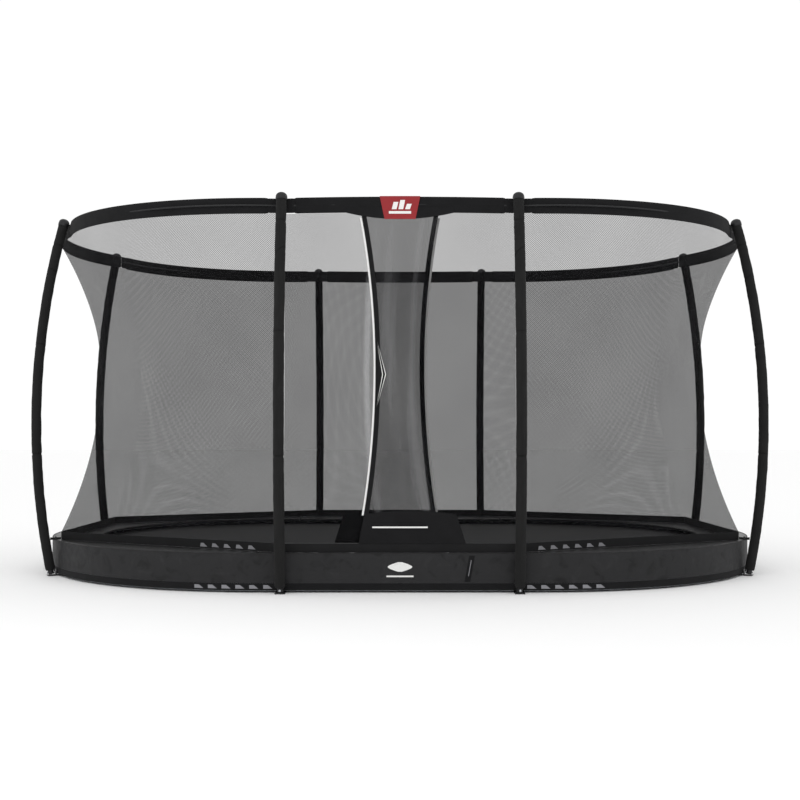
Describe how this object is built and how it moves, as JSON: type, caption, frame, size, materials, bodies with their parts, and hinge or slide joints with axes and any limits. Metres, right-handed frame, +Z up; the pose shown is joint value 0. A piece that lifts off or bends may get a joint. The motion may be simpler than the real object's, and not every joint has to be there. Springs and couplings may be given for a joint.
{
  "type": "trampoline",
  "caption": "Oval ground-level trampoline with a sprung jump mat, edge pads, and a tall safety net on bowed padded poles, with an overlapping flap entrance.",
  "frame": {"origin": "on the ground under the middle of the trampoline", "axes": "+Z up, X along the length, the entrance faces -Y"},
  "size_m": [5.252, 3.803, 2.5301],
  "materials": {
    "frame_steel": "black powder coat",
    "pole_steel": "black powder coat",
    "pole_sleeve": "black coated cloth over foam",
    "cap_plastic": "moulded",
    "zinc_steel": "zinc plated",
    "mat_fabric": "woven polypropylene",
    "webbing": "woven webbing",
    "pad_cloth": "coated cloth",
    "skirt_cloth": "coated cloth",
    "black_cloth": "coated cloth",
    "glass_fibre": "fibreglass rod",
    "net_mesh": "open knitted mesh",
    "edging": "piped edge with webbing",
    "tag": "stitched tag",
    "badge": "red patch"
  },
  "bodies": {
    "frame": {"edge_pad_front": "pad_cloth", "edge_pad_left_front": "pad_cloth", "edge_pad_left_rear": "pad_cloth", "edge_pad_rear": "pad_cloth", "edge_pad_right_front": "pad_cloth", "edge_pad_right_rear": "pad_cloth", "entrance_visor": "black_cloth", "frame_ring_tubes": "frame_steel", "frame_uprights": "frame_steel", "front_badge": "badge", "ground_ring_tubes": "frame_steel", "lower_band": "black_cloth", "net_band": "black_cloth", "net_band_cuffs": "black_cloth", "net_band_rods": "glass_fibre", "net_front_left": "net_mesh", "net_front_right": "net_mesh", "net_lower_border": "webbing", "net_panel_front_left": "net_mesh", "net_panel_front_right": "net_mesh", "net_panel_left": "net_mesh", "net_panel_rear": "net_mesh", "net_panel_rear_left": "net_mesh", "net_panel_rear_right": "net_mesh", "net_panel_right": "net_mesh", "net_pole_straps": "webbing", "pad_skirt": "skirt_cloth", "pole_end_caps": "cap_plastic", "pole_foot_bolts": "zinc_steel", "pole_foot_plates": "frame_steel", "pole_sleeve_front_left": "pole_sleeve", "pole_sleeve_front_right": "pole_sleeve", "pole_sleeve_left_front": "pole_sleeve", "pole_sleeve_left_rear": "pole_sleeve", "pole_sleeve_rear_left": "pole_sleeve", "pole_sleeve_rear_right": "pole_sleeve", "pole_sleeve_right_front": "pole_sleeve", "pole_sleeve_right_rear": "pole_sleeve", "pole_tube_front_left": "pole_steel", "pole_tube_front_right": "pole_steel", "pole_tube_left_front": "pole_steel", "pole_tube_left_rear": "pole_steel", "pole_tube_rear_left": "pole_steel", "pole_tube_rear_right": "pole_steel", "pole_tube_right_front": "pole_steel", "pole_tube_right_rear": "pole_steel", "spring_tabs": "frame_steel", "springs": "zinc_steel", "tube_couplings": "frame_steel"},
    "mat": {"jump_mat": "mat_fabric", "mat_edge_webbing": "webbing", "mat_steel_rings": "zinc_steel"},
    "outer_flap": {"net_flap_outer": "net_mesh", "flap_edging_outer": "edging", "flap_foot_panel_outer": "black_cloth", "flap_pull_tag": "tag"},
    "inner_flap": {"net_flap_inner": "net_mesh", "flap_edging_inner": "edging", "flap_foot_panel_inner": "black_cloth"}
  },
  "joints": [
    {"name": "mat_bounce", "type": "slide", "parent": "frame", "child": "mat", "axis": [0, 0, 1], "range_m": [-0.15, 0], "stiffness_N_per_m": 6000, "springref_m": 0.05, "deforming": ["springs"]},
    {"name": "outer_flap_fold", "type": "hinge", "parent": "frame", "child": "outer_flap", "pos_m": [0.42, -1.695, 0.3085], "axis": [-0.3023, 0.0068, 0.9532], "range_deg": [0, 25], "stiffness_Nm_per_rad": 4},
    {"name": "inner_flap_fold", "type": "hinge", "parent": "frame", "child": "inner_flap", "pos_m": [-0.42, -1.619, 0.3085], "axis": [0.3023, 0.0068, 0.9532], "range_deg": [0, 45], "stiffness_Nm_per_rad": 4}
  ]
}
